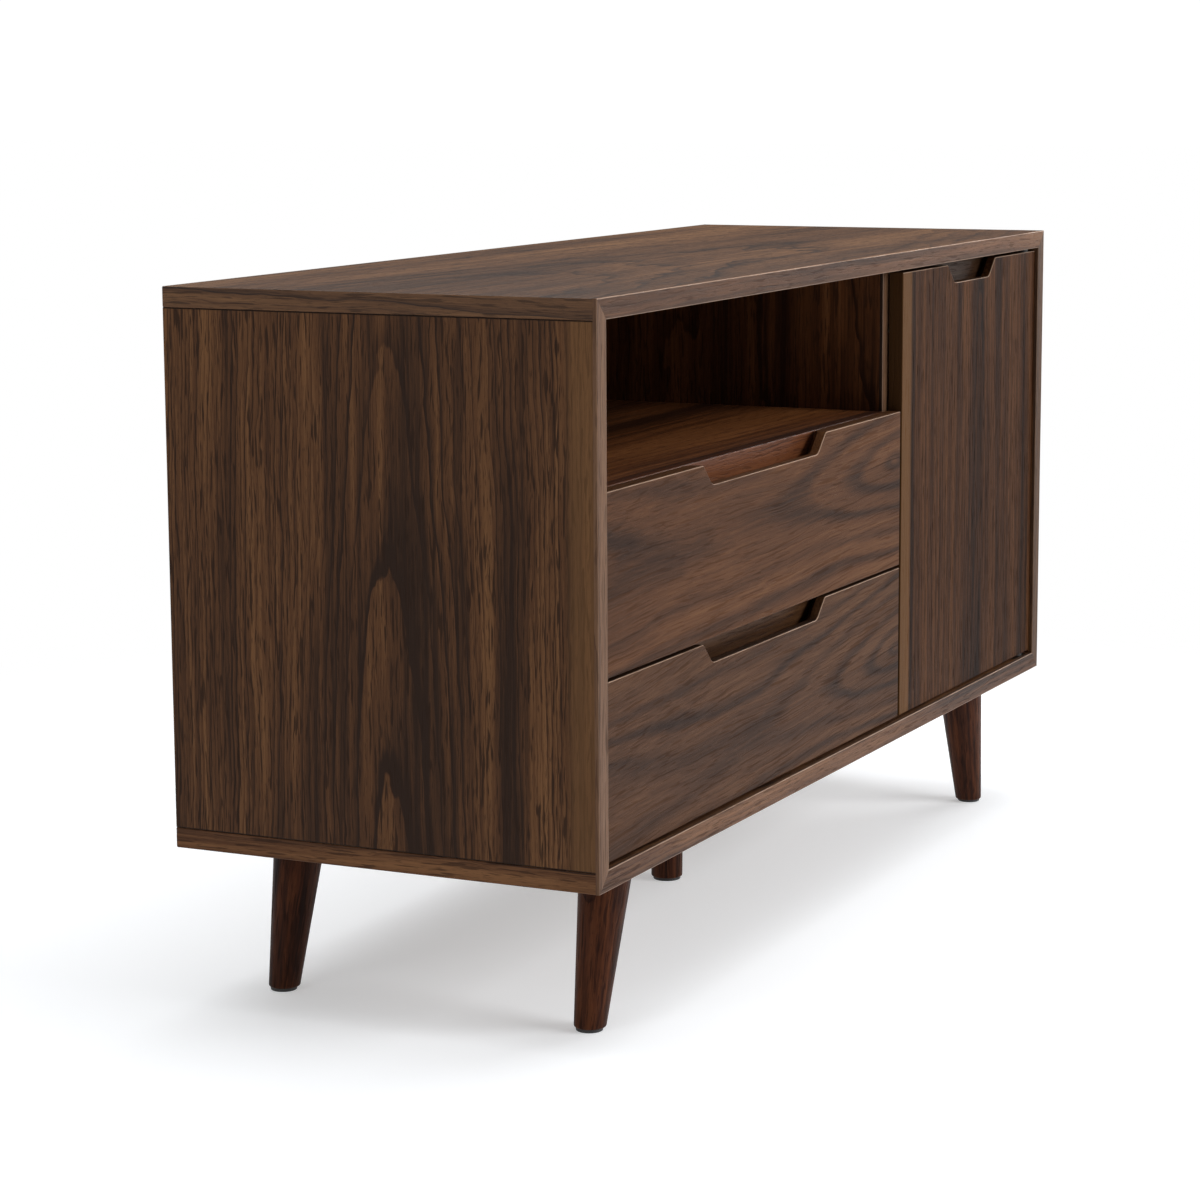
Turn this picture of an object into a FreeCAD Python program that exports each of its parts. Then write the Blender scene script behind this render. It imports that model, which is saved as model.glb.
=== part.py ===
"""Mid-century sideboard: a veneered carcass on five turned legs, with an open cubby over two drawers
and a pivot-hung cupboard door. Millimetres, +Z up, +X to the right, front towards -Y.
The origin is on the floor under the middle of the carcass."""

import FreeCAD
import Part
import math
import os
from FreeCAD import Vector

# Carcass
WIDTH = 1200.0
DEPTH = 432.0
CARCASS_HEIGHT = 515.0
LEG_HEIGHT = 150.0
BOARD = 19.0
LIPPING = 4.0  # solid edging on the front of the boards
ARRIS = 1.2  # radius of the eased edges
PARTITION_X = 142.5  # middle of the upright between drawers and cupboard
SHELF_TOP = 498.0
BACK_THICKNESS = 5.0
BACK_INSET = 11.0  # from the rear edge of the boards to the back panel
GROOVE_DEPTH = 6.5
GROOVE_PLAY = 0.2

# Drawer fronts and door, set inside the frame
RECESS = 4.0
FRONT_THICKNESS = 15.0
SIDE_GAP = 2.5
END_GAP = 3.5
BETWEEN_GAP = 3.0  # between the two drawer fronts
DOOR_GAP = 4.0  # between the drawer fronts and the door
BEHIND_GAP = 2.5  # between a closed front and the edge that it covers
LOWER_FRONT_TOP = 332.5
NOTCH_DEPTH = 20.0
NOTCH_SLANT = 21.0
NOTCH_RADIUS = 12.0
NOTCH_LIP_RADIUS = 5.0
NOTCH_RELIEF = 6.0  # chamfer behind the notch, for the fingertips
DRAWER_NOTCH_WIDTH = 300.0
DOOR_NOTCH_WIDTH = 156.0
NOSING_HEIGHT = 30.0  # solid edge of the cubby shelf, behind the finger notch
NOSING_DEPTH = 14.0
NOSING_BEVEL = 5.0
RAIL_HEIGHT = 31.0
RAIL_DEPTH = 60.0
STOP_HEIGHT = 26.0  # strip under the top that the door closes on
STOP_DEPTH = 20.0
STOP_RIGHT = 530.0

# Drawer boxes and their ball-bearing runners
BOX_HEIGHT = 120.0
BOX_LENGTH = 350.0
BOX_SIDE = 12.0
BOX_BOTTOM = 6.0
BOX_BOTTOM_RISE = 8.0
BOX_FINGERS = 5
RUNNER_THICKNESS = 12.7
RUNNER_STEEL = 1.2
RUNNER_SETBACK = 3.0
LOWER_BOX_BOTTOM = 180.0
UPPER_BOX_BOTTOM = 345.0
BALL_RADIUS = 1.85
BALLS_PER_ROW = 5
BALL_PITCH = 20.0
CAGE_START = 126.5  # from the runner's front end

# Door pivots, catch and loose shelf
PIVOT_FROM_EDGE = 22.0
PIN_RADIUS = 2.5
PIN_PLAY = 0.05
BUSH_RADIUS = 4.2
BUSH_LENGTH = 15.0
PIVOT_PLATE = 2.0
SHELF_THICKNESS = 16.0
SHELF_UNDERSIDE = 399.0
SHELF_PIN_RADIUS = 2.5
HOLE_PITCH = 32.0
HOLE_STEPS = (-2, -1, 0, 1, 2)
SHELF_PIN_Y = (-130.0, 155.0)

# Legs
FOOT_X = 513.0
FRONT_FOOT_Y = -163.0
REAR_FOOT_Y = 157.0
CENTRE_FOOT = (24.0, 5.0)
LEG_SPLAY = 14.0  # degrees outwards, along X
LEG_TOP_RADIUS = 24.5
LEG_FOOT_RADIUS = 14.5
CENTRE_LEG_TOP_RADIUS = 18.0
CENTRE_LEG_FOOT_RADIUS = 16.5
GLIDE_THICKNESS = 3.0
GLIDE_SETBACK = 2.0  # from the rim of the foot
LEG_PLATE = 70.0
LEG_PLATE_STEEL = 2.5
LEG_BOSS_RADIUS = 15.0
LEG_BOSS_DROP = 10.0
BOLT_RADIUS = 4.0

# Loose fits of wood joints and screws
DOWEL_RADIUS = 4.0
DOWEL_LENGTH = 30.0
DOWEL_IN_FACE = 12.0
FIT = 0.05

# Planes worked out from the above
FRONT = -DEPTH / 2
REAR = DEPTH / 2
LEFT = -WIDTH / 2
RIGHT = WIDTH / 2
UNDERSIDE = LEG_HEIGHT
FLOOR_TOP = UNDERSIDE + BOARD
TOP = UNDERSIDE + CARCASS_HEIGHT
CEILING = TOP - BOARD
BOARD_FRONT = FRONT + LIPPING
FACE_FRONT = FRONT + RECESS
FACE_REAR = FACE_FRONT + FRONT_THICKNESS
INNER_FRONT = FACE_REAR + BEHIND_GAP
BACK_FRONT = REAR - BACK_INSET - BACK_THICKNESS
INNER_REAR = BACK_FRONT - GROOVE_PLAY
INNER_LEFT = LEFT + BOARD
INNER_RIGHT = RIGHT - BOARD
PARTITION_LEFT = PARTITION_X - BOARD / 2
PARTITION_RIGHT = PARTITION_X + BOARD / 2
FRONT_LEFT = INNER_LEFT + SIDE_GAP
FRONT_RIGHT = PARTITION_X - DOOR_GAP / 2
DOOR_LEFT = PARTITION_X + DOOR_GAP / 2
DOOR_RIGHT = INNER_RIGHT - SIDE_GAP
DOOR_BOTTOM = FLOOR_TOP + END_GAP
DOOR_TOP = CEILING - END_GAP
UPPER_FRONT_BOTTOM = LOWER_FRONT_TOP + BETWEEN_GAP
RAIL_TOP = LOWER_FRONT_TOP + 0.5
PIVOT_X = DOOR_RIGHT - PIVOT_FROM_EDGE
PIVOT_Y = (FACE_FRONT + FACE_REAR) / 2
RUNNER_FRONT = INNER_FRONT + RUNNER_SETBACK
BOX_LEFT = INNER_LEFT + RUNNER_THICKNESS
BOX_RIGHT = PARTITION_LEFT - RUNNER_THICKNESS
BOX_REAR = FACE_REAR + BOX_LENGTH

X_AXIS = Vector(1, 0, 0)
Y_AXIS = Vector(0, 1, 0)
Z_AXIS = Vector(0, 0, 1)
ROUND_OFF = 1e-4


def block(x, y, z):
    """A box between two values on each axis."""
    corner = Vector(min(x), min(y), min(z))
    return Part.makeBox(abs(x[1] - x[0]), abs(y[1] - y[0]), abs(z[1] - z[0]), corner)


def rod(radius, start, axis, length):
    """A cylinder that starts at a point and runs along an axis."""
    return Part.makeCylinder(radius, length, start, axis)


def prism(points, axis_step):
    """A solid from a closed outline pushed along a vector."""
    return Part.Face(Part.makePolygon(points + points[:1])).extrude(axis_step)


def edges_where(shape, test):
    """The straight edges whose middle and direction pass a test."""
    found = []
    for edge in shape.Edges:
        if len(edge.Vertexes) == 2:
            run = (edge.Vertexes[1].Point - edge.Vertexes[0].Point).normalize()
            if test(edge.CenterOfMass, run):
                found.append(edge)
    return found


def eased(shape, test, radius=ARRIS):
    """The shape with a small radius on the chosen edges."""
    return shape.makeFillet(radius, edges_where(shape, test))


def near(a, b):
    return abs(a - b) < ROUND_OFF


def export(name, shapes):
    """One STEP file for each node. A group of loose solids becomes one compound."""
    shape = shapes[0] if len(shapes) == 1 else Part.makeCompound(shapes)
    if not shape.isValid():
        raise ValueError(name + " is not valid")
    shape.exportStep(os.path.join("parts", name + ".step"))


# Screws: each is a solid and the hole that it needs


def screw(head_top, axis, shank_radius, length, head_radius, head_depth, flush=True):
    """A countersunk or pan-head screw with a cross slot. head_top is the middle of its outer face."""
    slot_width = head_radius * 0.28
    slot_length = head_radius * 1.2
    if flush:
        head = Part.makeCone(head_radius, shank_radius, head_depth, head_top, axis)
    else:
        head = rod(head_radius, head_top, axis, head_depth)
        rim = [e for e in head.Edges if near(e.CenterOfMass.distanceToPoint(head_top), 0.0)]
        head = head.makeFillet(head_depth * 0.45, rim)
    shank = rod(shank_radius, head_top + axis * head_depth, axis, length - head_depth)
    body = head.fuse(shank)
    across = axis.cross(Z_AXIS if abs(axis.z) < 0.9 else X_AXIS).normalize()
    up = axis.cross(across)
    for one, other in ((across, up), (up, across)):
        corner = head_top - one * (slot_length / 2) - other * (slot_width / 2)
        outline = [
            corner,
            corner + one * slot_length,
            corner + one * slot_length + other * slot_width,
            corner + other * slot_width,
        ]
        body = body.cut(prism(outline, axis * (head_depth * 0.5)))
    return body


def screw_hole(head_top, axis, shank_radius, length, head_radius, head_depth, flush=True):
    """The drilled hole for a screw, with its countersink."""
    hole = rod(shank_radius + FIT, head_top, axis, length + 1.0)
    if flush:
        sink = Part.makeCone(head_radius + FIT, shank_radius + FIT, head_depth, head_top, axis)
        return hole.fuse(sink)
    return hole


def drilled(panel, holes):
    """The panel with every hole that reaches it cut out."""
    touching = [h for h in holes if h.BoundBox.intersect(panel.BoundBox)]
    if not touching:
        return panel
    return panel.cut(Part.makeCompound(touching))


# Carcass joints


def dowel_places():
    """Middle point and axis of every dowel: the point lies on the face of the board that is drilled."""
    places = []
    for y in (-160.0, 0.0, 160.0):
        for x in (LEFT + BOARD / 2, PARTITION_X, RIGHT - BOARD / 2):
            places.append((Vector(x, y, FLOOR_TOP), Z_AXIS))
            places.append((Vector(x, y, CEILING), -Z_AXIS))
        shelf_middle = SHELF_TOP - BOARD / 2
        places.append((Vector(INNER_LEFT, y, shelf_middle), X_AXIS))
        places.append((Vector(PARTITION_LEFT, y, shelf_middle), -X_AXIS))
    for y in (INNER_FRONT + 18.0, INNER_FRONT + 44.0):
        places.append((Vector(INNER_LEFT, y, RAIL_TOP - RAIL_HEIGHT / 2), X_AXIS))
        places.append((Vector(PARTITION_LEFT, y, RAIL_TOP - RAIL_HEIGHT / 2), -X_AXIS))
    for x in (STOP_RIGHT - 290.0, STOP_RIGHT - 50.0):
        places.append((Vector(x, INNER_FRONT + STOP_DEPTH / 2, CEILING), -Z_AXIS))
    return places


def dowels():
    solids = []
    for face, axis in dowel_places():
        solids.append(rod(DOWEL_RADIUS, face - axis * DOWEL_IN_FACE, axis, DOWEL_LENGTH))
    return solids


def dowel_holes():
    holes = []
    for face, axis in dowel_places():
        start = face - axis * (DOWEL_IN_FACE + FIT * 4)
        holes.append(rod(DOWEL_RADIUS + FIT, start, axis, DOWEL_LENGTH + FIT * 20))
    return holes


def back_groove():
    """The space that the back panel's edges need in the boards around it."""
    play = GROOVE_PLAY
    return block(
        (INNER_LEFT - GROOVE_DEPTH, INNER_RIGHT + GROOVE_DEPTH),
        (BACK_FRONT - play, BACK_FRONT + BACK_THICKNESS + play),
        (FLOOR_TOP - GROOVE_DEPTH, CEILING + GROOVE_DEPTH),
    )


def shelf_pin_places():
    """Points on the cupboard's two walls where the shelf pins stand, with the way that they point."""
    z = SHELF_UNDERSIDE - SHELF_PIN_RADIUS
    places = []
    for y in SHELF_PIN_Y:
        places.append((Vector(PARTITION_RIGHT, y, z), X_AXIS))
        places.append((Vector(INNER_RIGHT, y, z), -X_AXIS))
    return places


def shelf_pin_holes():
    depth = 9.0
    holes = []
    for place, axis in shelf_pin_places():
        for step in HOLE_STEPS:
            mouth = place + Z_AXIS * (step * HOLE_PITCH)
            holes.append(rod(SHELF_PIN_RADIUS + FIT, mouth - axis * depth, axis, depth + 1.0))
    return holes


# Carcass boards


def top_board(holes):
    board = block((LEFT, RIGHT), (BOARD_FRONT, REAR), (CEILING, TOP))
    board = board.cut(pivot_plate_blank(CEILING, 1, FIT))
    board = eased(board, lambda c, d: c.y > BOARD_FRONT + 1 and (near(c.y, REAR) or near(abs(c.x), RIGHT)))
    return drilled(board.cut(back_groove()), holes)


def bottom_board(holes):
    board = block((LEFT, RIGHT), (BOARD_FRONT, REAR), (UNDERSIDE, FLOOR_TOP))
    board = board.cut(pivot_plate_blank(FLOOR_TOP, -1, FIT))
    board = eased(board, lambda c, d: c.y > BOARD_FRONT + 1 and (near(c.y, REAR) or near(abs(c.x), RIGHT)))
    return drilled(board.cut(back_groove()), holes)


def side_board(outer, inner, holes):
    board = block((outer, inner), (BOARD_FRONT, REAR), (FLOOR_TOP, CEILING))
    board = eased(board, lambda c, d: near(c.x, outer) and c.y > BOARD_FRONT + 1)
    return drilled(board.cut(back_groove()), holes)


def partition_board(holes):
    y = (INNER_FRONT + LIPPING, INNER_REAR)
    board = block((PARTITION_LEFT, PARTITION_RIGHT), y, (FLOOR_TOP, CEILING))
    return drilled(board, holes)


def cubby_shelf(holes):
    board = block(
        (INNER_LEFT, PARTITION_LEFT),
        (INNER_FRONT + NOSING_DEPTH, INNER_REAR),
        (SHELF_TOP - BOARD, SHELF_TOP),
    )
    return drilled(board, holes)


def undercut_edge(top, height, depth, x):
    """A solid edge whose front face slopes back below its top corner, to leave room for fingers."""
    land = 2.0
    outline = [
        Vector(x[0], INNER_FRONT, top),
        Vector(x[0], INNER_FRONT + depth, top),
        Vector(x[0], INNER_FRONT + depth, top - height),
        Vector(x[0], INNER_FRONT + NOSING_BEVEL, top - height),
        Vector(x[0], INNER_FRONT, top - land),
    ]
    solid = prism(outline, X_AXIS * (x[1] - x[0]))
    return eased(solid, lambda c, d: abs(d.x) > 0.9 and near(c.y, INNER_FRONT) and near(c.z, top))


def shelf_nosing():
    return undercut_edge(SHELF_TOP, NOSING_HEIGHT, NOSING_DEPTH, (INNER_LEFT, PARTITION_LEFT))


def drawer_rail(holes):
    rail = undercut_edge(RAIL_TOP, RAIL_HEIGHT, RAIL_DEPTH, (INNER_LEFT, PARTITION_LEFT))
    return drilled(rail, holes)


def door_stop(holes):
    """A strip under the top board, clear of the corner of the door that swings inwards at the pivots."""
    strip = block(
        (PARTITION_RIGHT, STOP_RIGHT),
        (INNER_FRONT, INNER_FRONT + STOP_DEPTH),
        (CEILING - STOP_HEIGHT, CEILING),
    )
    strip = eased(strip, lambda c, d: abs(d.x) > 0.9 and near(c.z, CEILING - STOP_HEIGHT))
    return drilled(strip.cut(rod(CATCH_RADIUS + FIT, catch_mouth(), Y_AXIS, CATCH_LENGTH + 0.5)), holes)


def back_panel():
    slack = 0.5
    return block(
        (INNER_LEFT - GROOVE_DEPTH + slack, INNER_RIGHT + GROOVE_DEPTH - slack),
        (BACK_FRONT, BACK_FRONT + BACK_THICKNESS),
        (FLOOR_TOP - GROOVE_DEPTH + slack, CEILING + GROOVE_DEPTH - slack),
    )


# Front edging, mitred at the four corners of the frame


def frame_corners():
    """Outer and inner corner of the front frame, for each of its four corners in turn."""
    return [
        (Vector(LEFT, FRONT, UNDERSIDE), Vector(INNER_LEFT, FRONT, FLOOR_TOP)),
        (Vector(RIGHT, FRONT, UNDERSIDE), Vector(INNER_RIGHT, FRONT, FLOOR_TOP)),
        (Vector(RIGHT, FRONT, TOP), Vector(INNER_RIGHT, FRONT, CEILING)),
        (Vector(LEFT, FRONT, TOP), Vector(INNER_LEFT, FRONT, CEILING)),
    ]


def mitred_lipping(first, second):
    """One side of the frame, between two of its corners."""
    corners = frame_corners()
    outer_a, inner_a = corners[first]
    outer_b, inner_b = corners[second]
    strip = prism([outer_a, outer_b, inner_b, inner_a], Y_AXIS * LIPPING)
    along = (outer_b - outer_a).normalize()
    return eased(strip, lambda c, d: near(c.y, FRONT) and abs(d.dot(along)) > 0.99)


def partition_lipping():
    strip = block(
        (PARTITION_LEFT, PARTITION_RIGHT),
        (INNER_FRONT, INNER_FRONT + LIPPING),
        (FLOOR_TOP, CEILING),
    )
    return eased(strip, lambda c, d: near(c.y, INNER_FRONT) and abs(d.z) > 0.9)


# Fronts with a finger notch in the top edge


def notch_outline(middle, half, floor, top, spread, y):
    """The outline of the notch at one depth, spread outwards all round, as a closed wire."""
    lean = math.atan2(NOTCH_SLANT, NOTCH_DEPTH)
    out = Vector(math.cos(lean), 0, -math.sin(lean))
    radius = NOTCH_RADIUS + spread
    run = (half - NOTCH_SLANT) - NOTCH_RADIUS * math.tan((math.pi / 2 - lean) / 2)
    centre = Vector(middle + run, y, floor + NOTCH_RADIUS)
    low = centre - Z_AXIS * radius
    bend = centre + Vector(math.sin(math.pi / 4 - lean / 2), 0, -math.cos(math.pi / 4 - lean / 2)) * radius
    high = centre + out * radius
    climb = Vector(math.sin(lean), 0, math.cos(lean))
    tip = high + climb * ((top - high.z) / climb.z)
    right = [tip, high, bend, low]
    left = [Vector(2 * middle - v.x, v.y, v.z) for v in right]
    edges = [
        Part.makeLine(right[0], right[1]),
        Part.Arc(right[1], right[2], right[3]).toShape(),
        Part.makeLine(right[3], left[3]),
        Part.Arc(left[3], left[2], left[1]).toShape(),
        Part.makeLine(left[1], left[0]),
        Part.makeLine(left[0], right[0]),
    ]
    return Part.Wire(edges)


def notched_front(x, z, notch_width):
    """A drawer front or door: a flat board with a slant-sided, round-cornered notch in its top edge,
    relieved behind for the fingertips."""
    middle = (x[0] + x[1]) / 2
    half = notch_width / 2
    floor = z[1] - NOTCH_DEPTH
    over = z[1] + 2 * NOTCH_RELIEF
    board = block(x, (FACE_FRONT, FACE_REAR), z)
    notch = Part.Face(notch_outline(middle, half, floor, over, 0.0, FACE_FRONT - 1)).extrude(
        Y_AXIS * (FRONT_THICKNESS + 2)
    )
    board = board.cut(notch)
    board = eased(
        board,
        lambda c, d: abs(d.y) > 0.9 and near(c.z, z[1]) and abs(c.x - middle) < half + 1.0,
        NOTCH_LIP_RADIUS,
    )
    outer_face = [f for f in board.Faces if near(f.CenterOfMass.y, FACE_FRONT)][0]
    board = board.makeFillet(ARRIS, outer_face.Edges)
    inset, beyond = 0.5, 1.0
    relief = Part.makeLoft(
        [
            notch_outline(middle, half, floor, over, -inset, FACE_REAR - NOTCH_RELIEF - inset),
            notch_outline(middle, half, floor, over, NOTCH_RELIEF + beyond, FACE_REAR + beyond),
        ],
        True,
        True,
    )
    return board.cut(relief)


# Drawers


def finger_cuts(z, joint_y, x):
    """The odd or even fingers of a corner joint, as the spaces to cut from one of the two boards."""
    pitch = BOX_HEIGHT / BOX_FINGERS
    return [block(x, joint_y, (z + k * pitch, z + (k + 1) * pitch)) for k in range(BOX_FINGERS)]


def drawer_box(bottom_z, holes):
    """The five boards of a drawer box with finger-jointed corners, by name."""
    z = (bottom_z, bottom_z + BOX_HEIGHT)
    y = (FACE_REAR, BOX_REAR)
    front_y = (FACE_REAR, FACE_REAR + BOX_SIDE)
    rear_y = (BOX_REAR - BOX_SIDE, BOX_REAR)
    floor_z = (bottom_z + BOX_BOTTOM_RISE, bottom_z + BOX_BOTTOM_RISE + BOX_BOTTOM)
    bite = BOX_SIDE / 2
    floor = block(
        (BOX_LEFT + bite, BOX_RIGHT - bite),
        (FACE_REAR + bite, BOX_REAR - bite),
        floor_z,
    )
    groove = block(
        (BOX_LEFT + bite - FIT, BOX_RIGHT - bite + FIT),
        (FACE_REAR + bite - FIT, BOX_REAR - bite + FIT),
        (floor_z[0] - FIT, floor_z[1] + FIT),
    )
    boards = {
        "left_side": block((BOX_LEFT, BOX_LEFT + BOX_SIDE), y, z),
        "right_side": block((BOX_RIGHT - BOX_SIDE, BOX_RIGHT), y, z),
        "box_front": block((BOX_LEFT, BOX_RIGHT), front_y, z),
        "box_back": block((BOX_LEFT, BOX_RIGHT), rear_y, z),
    }
    for side, x in (
        ("left_side", (BOX_LEFT, BOX_LEFT + BOX_SIDE)),
        ("right_side", (BOX_RIGHT - BOX_SIDE, BOX_RIGHT)),
    ):
        for end, joint_y in (("box_front", front_y), ("box_back", rear_y)):
            fingers = finger_cuts(bottom_z, joint_y, x)
            boards[side] = boards[side].cut(Part.makeCompound(fingers[1::2]))
            boards[end] = boards[end].cut(Part.makeCompound(fingers[0::2]))
    for name in boards:
        boards[name] = drilled(boards[name].cut(groove), holes)
    boards["bottom"] = floor
    return boards


# Ball-bearing runners: u runs from the cabinet wall to the drawer side, v up and down

CABINET_HALF = 22.5
MIDDLE_HALF = 17.4
DRAWER_HALF = 12.3
CABINET_REACH = (0.0, 10.5)
MIDDLE_REACH = (2.6, 11.0)
DRAWER_REACH = (5.4, RUNNER_THICKNESS)
CAGE_STRIP = 0.6
OUTER_CAGE_REACH = (1.6, 9.5)
INNER_CAGE_REACH = (4.3, 11.0)
OUTER_BALL_U = 6.5
INNER_BALL_U = 8.2


def runner_block(side, u, y, z):
    """A box given by its distances from the left wall (side 1) or the partition (side -1)."""
    wall = INNER_LEFT if side > 0 else PARTITION_LEFT
    return block((wall + side * u[0], wall + side * u[1]), y, z)


def channel(side, middle_z, half, reach, opens_to_drawer=True):
    """A rolled steel C section as long as the drawer box."""
    y = (RUNNER_FRONT, RUNNER_FRONT + BOX_LENGTH)
    far = 20.0
    outside = runner_block(side, reach, y, (middle_z - half, middle_z + half))
    if opens_to_drawer:
        hollow_u = (reach[0] + RUNNER_STEEL, far)
    else:
        hollow_u = (-far, reach[1] - RUNNER_STEEL)
    hollow_z = (middle_z - half + RUNNER_STEEL, middle_z + half - RUNNER_STEEL)
    return outside.cut(runner_block(side, hollow_u, y, hollow_z))


def ball_cage(side, middle_z, row_half, reach, ball_u):
    """A thin strip cage with its steel balls, top and bottom row. The balls turn in holes with play."""
    y0 = RUNNER_FRONT + CAGE_START
    y = (y0, y0 + BALLS_PER_ROW * BALL_PITCH)
    half = row_half + CAGE_STRIP / 2
    cage = runner_block(side, reach, y, (middle_z - half, middle_z + half))
    hollow = runner_block(
        side,
        (reach[0] + CAGE_STRIP, 20.0),
        y,
        (middle_z - half + CAGE_STRIP, middle_z + half - CAGE_STRIP),
    )
    cage = cage.cut(hollow)
    wall = INNER_LEFT if side > 0 else PARTITION_LEFT
    solids = []
    for k in range(BALLS_PER_ROW):
        ball_y = y0 + BALL_PITCH * (k + 0.5)
        for row in (-row_half, row_half):
            centre = Vector(wall + side * ball_u, ball_y, middle_z + row)
            solids.append(Part.makeSphere(BALL_RADIUS, centre))
            cage = cage.cut(rod(BALL_RADIUS + 0.15, centre - Z_AXIS * 2, Z_AXIS, 4.0))
    return [cage] + solids


def runner_middle_z(box_bottom):
    return box_bottom + BOX_HEIGHT / 2


def runner_screw_places(box_bottom):
    """Where each runner is screwed to the cabinet wall and to the drawer box, on both sides."""
    cabinet, drawer = [], []
    z = runner_middle_z(box_bottom)
    for side in (1, -1):
        wall = INNER_LEFT if side > 0 else PARTITION_LEFT
        for y in (RUNNER_FRONT + 35.0, RUNNER_FRONT + 175.0, RUNNER_FRONT + 320.0):
            cabinet.append((Vector(wall + side * RUNNER_STEEL, y, z), X_AXIS * -side))
            web = wall + side * (RUNNER_THICKNESS - RUNNER_STEEL - 1.4)
            drawer.append((Vector(web, y, z), X_AXIS * side))
    return cabinet, drawer


CABINET_RUNNER_SCREW = dict(shank_radius=1.6, length=13.0, head_radius=3.2, head_depth=RUNNER_STEEL)
DRAWER_RUNNER_SCREW = dict(shank_radius=1.6, length=11.0, head_radius=3.2, head_depth=1.4, flush=False)
FRONT_SCREW = dict(shank_radius=1.9, length=22.0, head_radius=4.0, head_depth=2.2, flush=False)
PLATE_SCREW = dict(shank_radius=1.9, length=15.0, head_radius=3.6, head_depth=LEG_PLATE_STEEL)
PIVOT_SCREW = dict(shank_radius=1.5, length=14.0, head_radius=3.0, head_depth=PIVOT_PLATE)
STRIKE_SCREW = dict(shank_radius=1.4, length=10.0, head_radius=2.6, head_depth=1.2)


def front_screw_places(box_bottom):
    """Screws through the box front into the drawer front, with their heads inside the drawer."""
    y = FACE_REAR + BOX_SIDE + FRONT_SCREW["head_depth"]
    places = []
    for x in (BOX_LEFT + 90.0, BOX_RIGHT - 90.0):
        for z in (box_bottom + 35.0, box_bottom + 95.0):
            places.append((Vector(x, y, z), -Y_AXIS))
    return places


# Legs


def leg_frames():
    """Name, foot point on the floor, unit axis pointing up the leg, top radius and foot radius."""
    splay = math.radians(LEG_SPLAY)
    frames = []
    for name, sx, foot_y in (
        ("leg_front_left", -1, FRONT_FOOT_Y),
        ("leg_front_right", 1, FRONT_FOOT_Y),
        ("leg_rear_left", -1, REAR_FOOT_Y),
        ("leg_rear_right", 1, REAR_FOOT_Y),
    ):
        axis = Vector(-sx * math.sin(splay), 0, math.cos(splay))
        foot = Vector(sx * FOOT_X, foot_y, 0)
        frames.append((name, foot, axis, LEG_TOP_RADIUS, LEG_FOOT_RADIUS))
    centre_foot = Vector(CENTRE_FOOT[0], CENTRE_FOOT[1], 0)
    frames.append(("leg_centre", centre_foot, Z_AXIS, CENTRE_LEG_TOP_RADIUS, CENTRE_LEG_FOOT_RADIUS))
    return frames


def leg_seat(foot, axis):
    """The point where the leg's axis meets the boss of its plate."""
    return foot + axis * ((UNDERSIDE - LEG_BOSS_DROP) / axis.z)


def leg(foot, axis, top_radius, foot_radius):
    """A turned, tapered leg, cut level above its glide and drilled for its bolt."""
    seat = leg_seat(foot, axis)
    length = (seat - foot).Length
    below = 20.0
    slope = (top_radius - foot_radius) / length
    cone = Part.makeCone(foot_radius - slope * below, top_radius, length + below, foot - axis * below, axis)
    reach = WIDTH
    under = block((-reach, reach), (-reach, reach), (-2 * below, GLIDE_THICKNESS))
    solid = cone.cut(under)
    foot_rim = [e for e in solid.Edges if e.BoundBox.ZMax < GLIDE_THICKNESS + ROUND_OFF]
    solid = solid.makeFillet(2.0, foot_rim)
    top_rim = [e for e in solid.Edges if near(e.CenterOfMass.distanceToPoint(seat), 0.0)]
    solid = solid.makeFillet(1.0, top_rim)
    return solid.cut(rod(BOLT_RADIUS + FIT, seat + axis, -axis, 36.0)).cut(glide_stem(foot, FIT))


def glide_stem(foot, play=0.0):
    return rod(2.0 + play, Vector(foot.x, foot.y, GLIDE_THICKNESS), Z_AXIS, 12.0 + play)


def glide(foot, foot_radius):
    """A nylon glide: a round pad with a barbless stem that presses up into the leg."""
    pad = rod(foot_radius - GLIDE_SETBACK, Vector(foot.x, foot.y, 0), Z_AXIS, GLIDE_THICKNESS)
    rim = [e for e in pad.Edges if near(e.BoundBox.ZMax, 0.0)]
    return pad.makeFillet(1.0, rim).fuse(glide_stem(foot))


def leg_plate(foot, axis):
    """A steel plate under the carcass with a boss that is square to the leg, and a hole for the bolt."""
    seat = leg_seat(foot, axis)
    head = foot + axis * (UNDERSIDE / axis.z)
    half = LEG_PLATE / 2
    plate = block(
        (head.x - half, head.x + half),
        (head.y - half, head.y + half),
        (UNDERSIDE - LEG_PLATE_STEEL, UNDERSIDE),
    )
    plate = eased(plate, lambda c, d: abs(d.z) > 0.9, 8.0)
    boss = rod(LEG_BOSS_RADIUS, seat, axis, LEG_BOSS_DROP * 2)
    above = block((-WIDTH, WIDTH), (-WIDTH, WIDTH), (UNDERSIDE - LEG_PLATE_STEEL / 2, TOP))
    plate = plate.fuse(boss.cut(above))
    return plate.cut(rod(BOLT_RADIUS + FIT, seat - axis, axis, LEG_BOSS_DROP * 2 + 2))


def leg_plate_screw_places(foot, axis):
    head = foot + axis * (UNDERSIDE / axis.z)
    offset = LEG_PLATE / 2 - 8.0
    z = UNDERSIDE - LEG_PLATE_STEEL
    return [
        (Vector(head.x + sx * offset, head.y + sy * offset, z), Z_AXIS)
        for sx in (-1, 1)
        for sy in (-1, 1)
    ]


def leg_bolt(foot, axis):
    """The hanger bolt that joins leg and plate."""
    seat = leg_seat(foot, axis)
    bolt = rod(BOLT_RADIUS, seat - axis * 32.0, axis, 32.0 + LEG_BOSS_DROP * 1.5)
    above = block((-WIDTH, WIDTH), (-WIDTH, WIDTH), (UNDERSIDE - 0.5, TOP))
    return bolt.cut(above)


# Door hardware


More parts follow.
